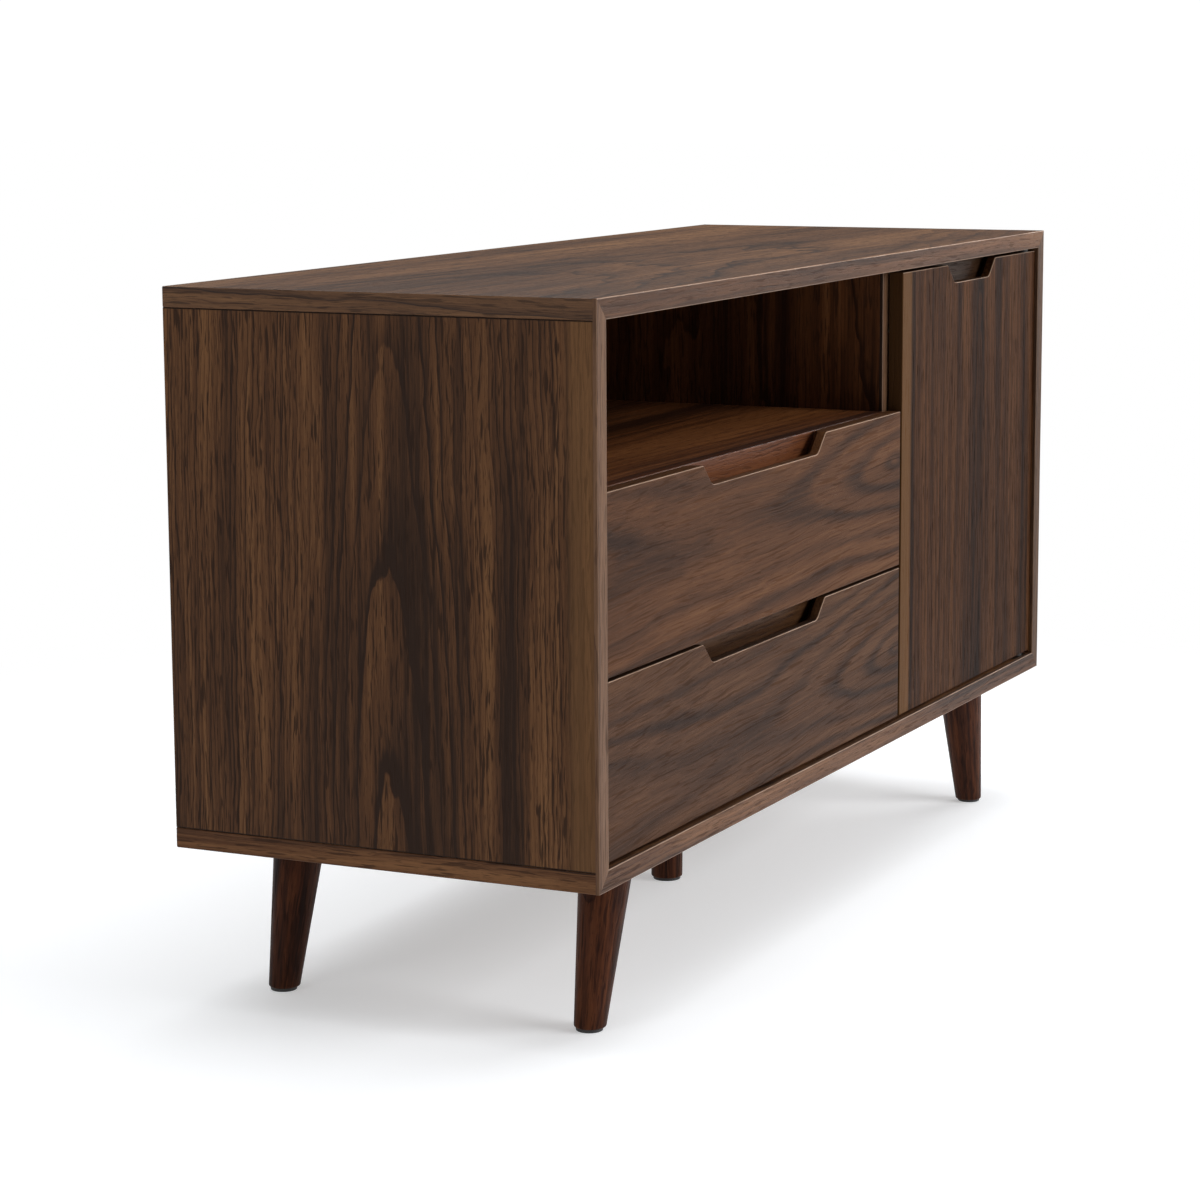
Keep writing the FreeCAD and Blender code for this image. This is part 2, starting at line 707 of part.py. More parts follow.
def pivot_plate_blank(face_z, into, play=0.0):
    """The body of a pivot plate, let in flush with a face of the carcass. into is the way into the board."""
    blank = block(
        (PIVOT_X - 26.0 - play, PIVOT_X + 20.0 + play),
        (PIVOT_Y - 6.5 - play, PIVOT_Y + 6.5 + play),
        (face_z, face_z + into * (PIVOT_PLATE + play)),
    )
    return eased(blank, lambda c, d: abs(d.z) > 0.9, 3.0)


def pivot_plate(face_z, up):
    """A plate screwed to the carcass with the pin that carries the door. up is 1 on the floor, -1 above."""
    start = Vector(PIVOT_X, PIVOT_Y, face_z - up * PIVOT_PLATE)
    pin = rod(PIN_RADIUS, start, Z_AXIS * up, PIVOT_PLATE + END_GAP + BUSH_LENGTH - 2.0)
    return pivot_plate_blank(face_z, -up).fuse(pin)


def pivot_screw_places():
    places = []
    for face_z, up in ((FLOOR_TOP, 1), (CEILING, -1)):
        for x in (PIVOT_X - 19.0, PIVOT_X + 13.0):
            places.append((Vector(x, PIVOT_Y, face_z), Z_AXIS * -up))
    return places


def pivot_bush(edge_z, into):
    """A nylon bush pressed into the edge of the door, with a thin flange that runs on the pivot plate."""
    flange = END_GAP - 0.3
    start = Vector(PIVOT_X, PIVOT_Y, edge_z)
    bush = rod(BUSH_RADIUS, start, Z_AXIS * into, BUSH_LENGTH)
    collar = rod(BUSH_RADIUS + 1.8, start, Z_AXIS * -into, flange)
    through = BUSH_LENGTH + 2 * END_GAP
    bore = rod(PIN_RADIUS + PIN_PLAY, start - Z_AXIS * (into * END_GAP), Z_AXIS * into, through)
    return bush.fuse(collar).cut(bore)


CATCH_X = 192.0
CATCH_RADIUS = 6.0
CATCH_LENGTH = 14.0
CATCH_RIM = 1.0
MAGNET_RADIUS = 4.5
MAGNET_LENGTH = 9.0
STRIKE_THICKNESS = 1.2


def catch_mouth():
    """Where the catch enters the front of the door stop."""
    return Vector(CATCH_X, INNER_FRONT, CEILING - STOP_HEIGHT / 2)


def catch_barrel():
    """A moulded barrel pressed into the door stop, with a thin rim and a bore for the magnet."""
    mouth = catch_mouth()
    barrel = rod(CATCH_RADIUS, mouth, Y_AXIS, CATCH_LENGTH)
    rim = rod(CATCH_RADIUS + 1.5, mouth, -Y_AXIS, CATCH_RIM)
    bore = rod(MAGNET_RADIUS + FIT, mouth - Y_AXIS * CATCH_RIM, Y_AXIS, MAGNET_LENGTH + 0.5)
    return barrel.fuse(rim).cut(bore)


def catch_magnet():
    """The round magnet, flush with the rim of its barrel."""
    magnet = rod(MAGNET_RADIUS, catch_mouth() - Y_AXIS * CATCH_RIM, Y_AXIS, MAGNET_LENGTH)
    return magnet.makeChamfer(0.4, [e for e in magnet.Edges if len(e.Vertexes) == 1])


def strike_screw_place():
    return (Vector(CATCH_X, FACE_REAR + STRIKE_THICKNESS, catch_mouth().z), -Y_AXIS)


def strike_plate(holes):
    middle = catch_mouth().z
    plate = block(
        (CATCH_X - 16.0, CATCH_X + 16.0),
        (FACE_REAR, FACE_REAR + STRIKE_THICKNESS),
        (middle - 6.5, middle + 6.5),
    )
    return drilled(eased(plate, lambda c, d: abs(d.y) > 0.9, 3.0), holes)


def bumper(z):
    """A soft stick-on bumper on the back of the door, over the edge of the partition."""
    x = (DOOR_LEFT + PARTITION_RIGHT) / 2
    dome = rod(3.0, Vector(x, FACE_REAR, z), Y_AXIS, BEHIND_GAP - 0.3)
    rim = [e for e in dome.Edges if near(e.BoundBox.YMin, FACE_REAR + BEHIND_GAP - 0.3)]
    return dome.makeFillet(0.9, rim)


def shelf_pin(place, axis):
    """A turned steel pin with a collar, half of it in the cupboard wall."""
    shank = rod(SHELF_PIN_RADIUS, place - axis * 8.0, axis, 17.0)
    return shank.fuse(rod(4.2, place, axis, 0.8))


def cupboard_shelf():
    play = 1.2
    board = block(
        (PARTITION_RIGHT + play, INNER_RIGHT - play),
        (INNER_FRONT + 34.0, INNER_REAR - 6.0),
        (SHELF_UNDERSIDE, SHELF_UNDERSIDE + SHELF_THICKNESS),
    )
    return eased(board, lambda c, d: abs(d.x) > 0.9)


def all_screws():
    """Every screw group: node name, the settings of its screws, and where they stand."""
    upper_cabinet, upper_drawer = runner_screw_places(UPPER_BOX_BOTTOM)
    lower_cabinet, lower_drawer = runner_screw_places(LOWER_BOX_BOTTOM)
    upper_front = front_screw_places(UPPER_BOX_BOTTOM)
    lower_front = front_screw_places(LOWER_BOX_BOTTOM)
    plates = []
    for name, foot, axis, top_radius, foot_radius in leg_frames():
        plates += leg_plate_screw_places(foot, axis)
    return {
        "runner_cabinet_screws": [(CABINET_RUNNER_SCREW, upper_cabinet + lower_cabinet)],
        "upper_drawer_screws": [(DRAWER_RUNNER_SCREW, upper_drawer), (FRONT_SCREW, upper_front)],
        "lower_drawer_screws": [(DRAWER_RUNNER_SCREW, lower_drawer), (FRONT_SCREW, lower_front)],
        "leg_plate_screws": [(PLATE_SCREW, plates)],
        "pivot_plate_screws": [(PIVOT_SCREW, pivot_screw_places())],
        "strike_plate_screw": [(STRIKE_SCREW, [strike_screw_place()])],
    }


def main():
    os.makedirs("parts", exist_ok=True)
    groups = all_screws()
    screw_holes = []
    for name, sets in groups.items():
        solids = []
        for settings, places in sets:
            for place, axis in places:
                solids.append(screw(place, axis, **settings))
                screw_holes.append(screw_hole(place, axis, **settings))
        export(name, solids)

    holes = dowel_holes() + shelf_pin_holes() + screw_holes
    export("carcass_dowels", dowels())
    export("top_panel", [top_board(holes)])
    export("bottom_panel", [bottom_board(holes)])
    export("left_side_panel", [side_board(LEFT, INNER_LEFT, holes)])
    export("right_side_panel", [side_board(RIGHT, INNER_RIGHT, holes)])
    export("partition_panel", [partition_board(holes)])
    export("cubby_shelf", [cubby_shelf(holes)])
    export("drawer_rail", [drawer_rail(holes)])
    export("shelf_nosing", [shelf_nosing()])
    export("door_stop", [door_stop(holes)])
    export("back_panel", [back_panel()])
    for k, name in enumerate(("bottom_lipping", "right_lipping", "top_lipping", "left_lipping")):
        export(name, [mitred_lipping(k, (k + 1) % 4)])
    export("partition_lipping", [partition_lipping()])

    plates, bolts, glides = [], [], []
    for name, foot, axis, top_radius, foot_radius in leg_frames():
        export(name, [leg(foot, axis, top_radius, foot_radius)])
        plates.append(drilled(leg_plate(foot, axis), screw_holes))
        bolts.append(leg_bolt(foot, axis))
        glides.append(glide(foot, foot_radius))
    export("leg_plates", plates)
    export("leg_bolts", bolts)
    export("leg_glides", glides)

    cabinet_members = []
    for drawer, box_bottom, z in (
        ("upper_drawer", UPPER_BOX_BOTTOM, (UPPER_FRONT_BOTTOM, SHELF_TOP)),
        ("lower_drawer", LOWER_BOX_BOTTOM, (DOOR_BOTTOM, LOWER_FRONT_TOP)),
    ):
        front = notched_front((FRONT_LEFT, FRONT_RIGHT), z, DRAWER_NOTCH_WIDTH)
        export(drawer + "_front", [drilled(front, screw_holes)])
        for board, shape in drawer_box(box_bottom, screw_holes).items():
            export(drawer + "_" + board, [shape])
        middle_z = runner_middle_z(box_bottom)
        members, middles, outer_cages, inner_cages = [], [], [], []
        for side in (1, -1):
            cabinet = channel(side, middle_z, CABINET_HALF, CABINET_REACH)
            cabinet_members.append(drilled(cabinet, screw_holes))
            middles.append(channel(side, middle_z, MIDDLE_HALF, MIDDLE_REACH))
            member = channel(side, middle_z, DRAWER_HALF, DRAWER_REACH, opens_to_drawer=False)
            members.append(drilled(member, screw_holes))
            outer_row = (CABINET_HALF - RUNNER_STEEL + MIDDLE_HALF) / 2
            inner_row = (MIDDLE_HALF - RUNNER_STEEL + DRAWER_HALF) / 2
            outer_cages += ball_cage(side, middle_z, outer_row, OUTER_CAGE_REACH, OUTER_BALL_U)
            inner_cages += ball_cage(side, middle_z, inner_row, INNER_CAGE_REACH, INNER_BALL_U)
        export(drawer + "_runner_members", members)
        export(drawer + "_runner_middles", middles)
        export(drawer + "_outer_ball_cages", outer_cages)
        export(drawer + "_inner_ball_cages", inner_cages)
    export("runner_cabinet_members", cabinet_members)

    door = notched_front((DOOR_LEFT, DOOR_RIGHT), (DOOR_BOTTOM, DOOR_TOP), DOOR_NOTCH_WIDTH)
    bush_seats = [
        rod(BUSH_RADIUS + FIT, Vector(PIVOT_X, PIVOT_Y, DOOR_BOTTOM), Z_AXIS, BUSH_LENGTH + 0.5),
        rod(BUSH_RADIUS + FIT, Vector(PIVOT_X, PIVOT_Y, DOOR_TOP), -Z_AXIS, BUSH_LENGTH + 0.5),
    ]
    export("door_panel", [drilled(door, screw_holes + bush_seats)])
    export("pivot_bushes", [pivot_bush(DOOR_BOTTOM, 1), pivot_bush(DOOR_TOP, -1)])
    pivots = [pivot_plate(FLOOR_TOP, 1), pivot_plate(CEILING, -1)]
    export("pivot_plates", [drilled(plate, screw_holes) for plate in pivots])
    export("catch_barrel", [catch_barrel()])
    export("catch_magnet", [catch_magnet()])
    export("strike_plate", [strike_plate(screw_holes)])
    export("door_bumpers", [bumper(DOOR_BOTTOM + 40.0), bumper(DOOR_TOP - 60.0)])
    export("cupboard_shelf", [cupboard_shelf()])
    export("shelf_pins", [shelf_pin(place, axis) for place, axis in shelf_pin_places()])


main()
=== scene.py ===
"""Looks for a walnut sideboard: veneered boards with banded edges, turned legs, ply drawer boxes, steel
runners and door pivots, in a plain pale studio. Metres, +Z up, the front faces -Y."""

import math

import bpy
from mathutils import Matrix, Vector


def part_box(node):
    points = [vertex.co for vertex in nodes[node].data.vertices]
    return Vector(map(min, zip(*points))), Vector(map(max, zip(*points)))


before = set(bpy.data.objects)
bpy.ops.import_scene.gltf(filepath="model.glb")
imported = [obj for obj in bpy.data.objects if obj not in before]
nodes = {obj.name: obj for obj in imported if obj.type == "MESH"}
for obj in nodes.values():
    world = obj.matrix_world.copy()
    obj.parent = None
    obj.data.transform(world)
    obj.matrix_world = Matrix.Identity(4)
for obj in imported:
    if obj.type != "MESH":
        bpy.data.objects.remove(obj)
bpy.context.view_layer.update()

# Tones of oiled walnut, linear light
PALE = (0.168, 0.076, 0.030, 1)
MIDDLE = (0.090, 0.0365, 0.0140, 1)
DARK = (0.022, 0.0090, 0.0042, 1)
TONES = (PALE, MIDDLE, DARK)
SAPWOOD = (0.126, 0.060, 0.022, 1)
# Painted shade for the shaded groove where the side boards meet the top and bottom
SEAM_SHADE = (0.008, 0.0045, 0.003, 1)
HIGHLIGHT_AND_WEAR_TONE = (0.36, 0.245, 0.175, 1)  # pale front arrises: a painted highlight of the light catching the eased edges, and wear


# Building node trees


def put(tree, kind, sockets=None, **settings):
    """A node with its settings, its values and its incoming links."""
    node = tree.nodes.new(kind)
    for name, value in settings.items():
        setattr(node, name, value)
    for socket, value in (sockets or {}).items():
        if isinstance(value, bpy.types.NodeSocket):
            tree.links.new(value, node.inputs[socket])
        else:
            node.inputs[socket].default_value = value
    return node


def calc(tree, operation, *values, clamp=False):
    """The result of a Math node."""
    node = put(tree, "ShaderNodeMath", dict(enumerate(values)), operation=operation, use_clamp=clamp)
    return node.outputs[0]


def vector_calc(tree, operation, a, b):
    """The result of a Vector Math node."""
    node = put(tree, "ShaderNodeVectorMath", {0: a, 1: b}, operation=operation)
    return node.outputs[0]


def scaled(tree, vector, factor):
    """A vector made longer or shorter."""
    return put(tree, "ShaderNodeVectorMath", {0: vector, "Scale": factor}, operation="SCALE").outputs[0]


def off_half(tree, value):
    """A value from 0 to 1 as its distance from a half."""
    return calc(tree, "SUBTRACT", value, 0.5)


def off_middle(tree, colour):
    """A noise colour as a sideways push of about -0.5 to 0.5 across the grain, and none along it."""
    centred = vector_calc(tree, "SUBTRACT", colour, (0.5, 0.5, 0.5))
    return vector_calc(tree, "MULTIPLY", centred, (0.0, 1.0, 1.0))


def noise(tree, vector, stretch, detail=2.0, roughness=0.5):
    """A noise texture stretched by its own scale along each axis."""
    stretched = vector_calc(tree, "MULTIPLY", vector, stretch)
    sockets = {"Vector": stretched, "Scale": 1.0, "Detail": detail, "Roughness": roughness}
    return put(tree, "ShaderNodeTexNoise", sockets)


def along_rings(tree, phase, scale, detail):
    """A value that changes from ring to ring and is the same all along one."""
    sockets = {"W": phase, "Scale": scale, "Detail": detail}
    return put(tree, "ShaderNodeTexNoise", sockets, noise_dimensions="1D").outputs[0]


def band(tree, value, low, high):
    """How far a value has come from low to high, from 0 to 1, smoothly."""
    node = put(
        tree,
        "ShaderNodeMapRange",
        {"Value": value, "From Min": low, "From Max": high},
        interpolation_type="SMOOTHSTEP",
    )
    return node.outputs["Result"]


def blend(tree, share, a, b):
    """Colour a at share 0, and b at share 1."""
    node = put(tree, "ShaderNodeMix", {0: share, 6: a, 7: b}, data_type="RGBA")
    return node.outputs[2]


def group(name, inputs, outputs):
    """An empty shader node group with named sockets, and its input and output nodes."""
    tree = bpy.data.node_groups.new(name, "ShaderNodeTree")
    for label, kind, value in inputs:
        socket = tree.interface.new_socket(label, in_out="INPUT", socket_type="NodeSocket" + kind)
        if value is not None:
            socket.default_value = value
    for label, kind in outputs:
        tree.interface.new_socket(label, in_out="OUTPUT", socket_type="NodeSocket" + kind)
    return tree, tree.nodes.new("NodeGroupInput").outputs, tree.nodes.new("NodeGroupOutput")


def use(tree, made, sockets):
    """Places a node group in a tree."""
    return put(tree, "ShaderNodeGroup", sockets, node_tree=made).outputs


# Shared effects

PLY_BOARD = 0.012  # thickness of the drawer sides
PLY_LAYERS = 9
PLY = PLY_BOARD / PLY_LAYERS
PLY_CROSS = (0.27, 0.150, 0.075, 1)
PLY_CONTRAST = 0.8

# How often each part of the figure changes in a metre: along, across and through the grain
SWAYS = (1.3, 4.5, 4.5)
RIPPLES = (9.0, 26.0, 26.0)
STRIPES = (2.2, 170.0, 170.0)
ZONES = (0.8, 17.0, 17.0)
FIBRES = (9.0, 480.0, 480.0)
PATCHES = (3.0, 12.0, 12.0)
LONG_PORES = (30.0, 430.0, 430.0)
SHORT_PORES = (90.0, 1200.0, 1200.0)
RIPPLE_PUSH = 0.010  # metres across which the ripples swing the rings
STRIPE_BEND = 0.6  # how far stripes, fibres and pores follow the bends of the rings
PORE_CONTRAST = 0.66

# How strong and how uneven the pale front arrises are: wear and a painted highlight
HIGHLIGHT_AND_WEAR_CONTRAST = 0.65
HIGHLIGHT_AND_WEAR_SCALE = (16.0, 16.0, 16.0)


def walnut_figure():
    """Walnut cut from a log whose heart lies under the face: rings, stripes, fibres and pores.
    The grain runs along X."""
    tree, given, out = group(
        "walnut_figure",
        [
            ("Vector", "Vector", None),
            ("Heart Depth", "Float", 0.05),
            ("Dip", "Float", 0.05),
            ("Reach", "Float", 9.0),
            ("Ring Width", "Float", 0.008),
            ("Crowding", "Float", 0.0),
            ("Wander", "Float", 0.03),
            ("Rings", "Float", 1.0),
            ("Softness", "Float", 0.0),
            ("Stripes", "Float", 1.0),
            ("Zones", "Float", 1.0),
            ("Pores", "Float", 1.0),
            ("Pore Length", "Float", 1.0),
            ("Pale", "Color", PALE),
            ("Middle", "Color", MIDDLE),
            ("Dark", "Color", DARK),
        ],
        [("Color", "Color"), ("Roughness", "Float"), ("Height", "Float")],
    )
    place = given["Vector"]

    # The log's rings, bent a little by slow sways and short ripples
    sway = noise(tree, place, SWAYS, 2.0, 0.4).outputs["Color"]
    sway = scaled(tree, off_middle(tree, sway), given["Wander"])
    ripple = noise(tree, place, RIPPLES, 3.0, 0.6).outputs["Color"]
    ripple = scaled(tree, off_middle(tree, ripple), RIPPLE_PUSH)
    drift = vector_calc(tree, "ADD", sway, ripple)
    bent = put(tree, "ShaderNodeSeparateXYZ", {0: vector_calc(tree, "ADD", place, drift)}).outputs

    # How far the place is from the heart, which dips away along the board
    far = calc(tree, "ADD", calc(tree, "DIVIDE", calc(tree, "ABSOLUTE", bent["X"]), given["Reach"]), 1.0)
    sink = calc(tree, "MULTIPLY", calc(tree, "DIVIDE", bent["X"], far), given["Dip"])
    depth = calc(tree, "ADD", bent["Z"], calc(tree, "ADD", sink, given["Heart Depth"]))
    squares = calc(tree, "ADD", calc(tree, "POWER", depth, 2.0), calc(tree, "POWER", bent["Y"], 2.0))
    radius = calc(tree, "SQRT", squares)
    crowded = calc(tree, "MULTIPLY_ADD", radius, given["Crowding"], 1.0)
    phase = calc(tree, "DIVIDE", calc(tree, "MULTIPLY", radius, crowded), given["Ring Width"])

    # Each ring darkens towards its late wood, or swells and fades where it is soft
    turn = calc(tree, "FRACT", calc(tree, "MULTIPLY", phase, -1.0))
    soft = calc(tree, "MULTIPLY", band(tree, turn, 0.30, 0.95), 0.35)
    line = calc(tree, "MULTIPLY", band(tree, turn, 0.80, 0.96), 0.65)
    late = calc(tree, "MULTIPLY", calc(tree, "ADD", soft, line), band(tree, turn, 1.0, 0.96))
    hump = calc(tree, "MULTIPLY", band(tree, turn, 0.35, 0.74), band(tree, turn, 1.0, 0.76))
    late = put(tree, "ShaderNodeMix", {0: given["Softness"], 2: late, 3: hump}, data_type="FLOAT").outputs[0]
    uneven = along_rings(tree, phase, 0.37, 1.0)
    broad = along_rings(tree, phase, 0.13, 2.0)
    rings = calc(tree, "MULTIPLY", late, band(tree, uneven, 0.30, 0.68))
    rings = calc(tree, "MULTIPLY", rings, given["Rings"])

    # Stripes, fibres and pores run along the grain
    lined = vector_calc(tree, "ADD", place, scaled(tree, drift, STRIPE_BEND))
    stripe = noise(tree, lined, STRIPES, 3.0, 0.65).outputs[0]
    zone = noise(tree, lined, ZONES, 2.0, 0.6).outputs[0]
    fibre = noise(tree, lined, FIBRES, 2.0, 0.6).outputs[0]
    patch = noise(tree, place, PATCHES, 2.0).outputs[0]
    length = put(tree, "ShaderNodeCombineXYZ", {0: given["Pore Length"], 1: 1.0, 2: 1.0}).outputs[0]
    pored = vector_calc(tree, "DIVIDE", lined, length)
    long_pore = noise(tree, pored, LONG_PORES, 1.0, 0.5).outputs[0]
    short_pore = noise(tree, pored, SHORT_PORES, 1.0, 0.5).outputs[0]
    short_pore = calc(tree, "MULTIPLY", band(tree, short_pore, 0.58, 0.68), 0.6)
    pores = calc(tree, "MAXIMUM", band(tree, long_pore, 0.56, 0.66), short_pore)

    # Everything together, from pale through middle to dark
    stripe = calc(tree, "MULTIPLY", off_half(tree, stripe), given["Stripes"])
    zone = calc(tree, "MULTIPLY", off_half(tree, zone), given["Zones"])
    broad = calc(tree, "MULTIPLY", off_half(tree, broad), given["Zones"])
    shade = calc(tree, "MULTIPLY_ADD", rings, 0.80, 0.09)
    for source, weight in ((stripe, 1.25), (broad, 0.9), (fibre, 0.45), (patch, 0.4), (zone, 1.5)):
        shade = calc(tree, "MULTIPLY_ADD", source, weight, shade)
    colour = blend(tree, band(tree, shade, 0.06, 0.62), given["Pale"], given["Middle"])
    colour = blend(tree, band(tree, shade, 0.42, 1.05), colour, given["Dark"])
    filled = calc(tree, "MULTIPLY", calc(tree, "MULTIPLY", pores, PORE_CONTRAST), given["Pores"])
    tree.links.new(blend(tree, filled, colour, given["Dark"]), out.inputs["Color"])

    rough = calc(tree, "MULTIPLY_ADD", fibre, 0.18, 0.40)
    tree.links.new(calc(tree, "MULTIPLY_ADD", pores, 0.14, rough), out.inputs["Roughness"])
    height = calc(tree, "MULTIPLY_ADD", fibre, 0.5, calc(tree, "MULTIPLY", pores, -1.0))
    tree.links.new(calc(tree, "MULTIPLY_ADD", rings, -0.25, height), out.inputs["Height"])
    return tree


def board_axes(name, facing_x, facing_y, facing_z):
    """Turns places on a board so that X runs along the grain, as its faces and its edge banding were laid.
    Each argument says which axes become along, across and depth on the faces that look that way."""
    tree, given, out = group(
        name,
        [("Vector", "Vector", None), ("Normal", "Vector", None)],
        [("Vector", "Vector")],
    )
    place = put(tree, "ShaderNodeSeparateXYZ", {0: given["Vector"]}).outputs
    way = put(tree, "ShaderNodeSeparateXYZ", {0: given["Normal"]}).outputs
    laid = []
    for order in (facing_x, facing_y, facing_z):
        parts = {k: place[axis] for k, axis in enumerate(order)}
        laid.append(put(tree, "ShaderNodeCombineXYZ", parts).outputs[0])
    steep = math.sqrt(0.5)
    result = laid[1]
    for axis, choice in (("X", laid[0]), ("Z", laid[2])):
        share = calc(tree, "GREATER_THAN", calc(tree, "ABSOLUTE", way[axis]), steep)
        result = put(tree, "ShaderNodeMix", {0: share, 4: result, 5: choice}, data_type="VECTOR").outputs[1]
    tree.links.new(result, out.inputs["Vector"])
    return tree


def arris_highlight_and_wear():
    """Where faces meet in an eased edge at the front, the finish is painted pale: partly wear from hands
    and cloths, partly a painted highlight of the light catching the edge, strongest on edges that look
    upwards. Sides is how much of that the edges show that don't look upwards."""
    tree, given, out = group(
        "arris_highlight_and_wear",
        [
            ("Vector", "Vector", None),
            ("Normal", "Vector", None),
            ("Color", "Color", MIDDLE),
            ("Sides", "Float", 1.0),
        ],
        [("Color", "Color")],
    )
    way = put(tree, "ShaderNodeSeparateXYZ", {0: given["Normal"]}).outputs
    most = calc(tree, "ABSOLUTE", way["X"])
    for axis in ("Y", "Z"):
        most = calc(tree, "MAXIMUM", most, calc(tree, "ABSOLUTE", way[axis]))
    edge = band(tree, most, 0.995, 0.90)
    # Painted highlight: front arrises, more where they look upwards towards the lights
    front = band(tree, way["Y"], -0.15, -0.40)
    upward = band(tree, way["Z"], 0.15, 0.40)
    front = calc(tree, "MULTIPLY", front, calc(tree, "MAXIMUM", upward, given["Sides"]))
    uneven = noise(tree, given["Vector"], HIGHLIGHT_AND_WEAR_SCALE, 3.0).outputs[0]
    mask = calc(tree, "MULTIPLY", calc(tree, "MULTIPLY", edge, front), band(tree, uneven, 0.10, 0.60))
    pale_arris = blend(tree, calc(tree, "MULTIPLY", mask, HIGHLIGHT_AND_WEAR_CONTRAST), given["Color"], HIGHLIGHT_AND_WEAR_TONE)
    tree.links.new(pale_arris, out.inputs["Color"])
    return tree


def ply_edge():
    """The glued layers on the edges of plywood. Through is the distance through the board, and Share is 1
    on an edge and 0 on a face."""
    tree, given, out = group(
        "ply_edge",
        [("Color", "Color", (0.5, 0.4, 0.3, 1)), ("Through", "Float", 0.0), ("Share", "Float", 1.0)],
        [("Color", "Color")],
    )
    layer = calc(tree, "FRACT", calc(tree, "DIVIDE", given["Through"], 2 * PLY))
    cross = calc(tree, "MULTIPLY", band(tree, layer, 0.46, 0.52), band(tree, layer, 1.0, 0.94))
    cross = calc(tree, "MULTIPLY", cross, given["Share"])
    layered = blend(tree, calc(tree, "MULTIPLY", cross, PLY_CONTRAST), given["Color"], PLY_CROSS)
    tree.links.new(layered, out.inputs["Color"])
    return tree


FIGURE = walnut_figure()
HIGHLIGHT_AND_WEAR = arris_highlight_and_wear()
PLY_EDGE = ply_edge()
FLAT_BOARD = board_axes("flat_board_axes", "YZX", "XZY", "XYZ")
UPRIGHT_BOARD = board_axes("upright_board_axes", "ZYX", "ZXY", "YXZ")
WIDE_FRONT = board_axes("wide_front_axes", "ZYX", "XZY", "XYZ")
TALL_FRONT = board_axes("tall_front_axes", "ZYX", "ZXY", "XYZ")
SIDE_PLY = board_axes("side_ply_axes", "YZX", "XZY", "YXZ")


# Materials


SEAM_SHADE_LINE = (0.0014, 0.0006)  # distances from a seam where its line of painted shade starts and is full
SEAM_SHADE_CONTRAST = 0.85
SAPWOOD_SHARE = 0.6
WOOD_RELIEF = 0.00012
BIRCH_RELIEF = 0.00008
STEEL_RELIEF = 0.00003
MOULDED_RELIEF = 0.00006
BIRCH_PALE = (0.62, 0.44, 0.27, 1)
BIRCH_DARK = (0.42, 0.27, 0.15, 1)


def new_material(name):
    """A new material, its node tree and its Principled shader."""
    material = bpy.data.materials.new(name)
    material.use_nodes = True
    return material, material.node_tree, material.node_tree.nodes["Principled BSDF"]


def bump(tree, shader, height, distance):
    """Raises and sinks the surface by a height, which is worth this distance in metres."""
    made = put(tree, "ShaderNodeBump", {"Height": height, "Distance": distance, "Strength": 1.0})
    tree.links.new(made.outputs["Normal"], shader.inputs["Normal"])


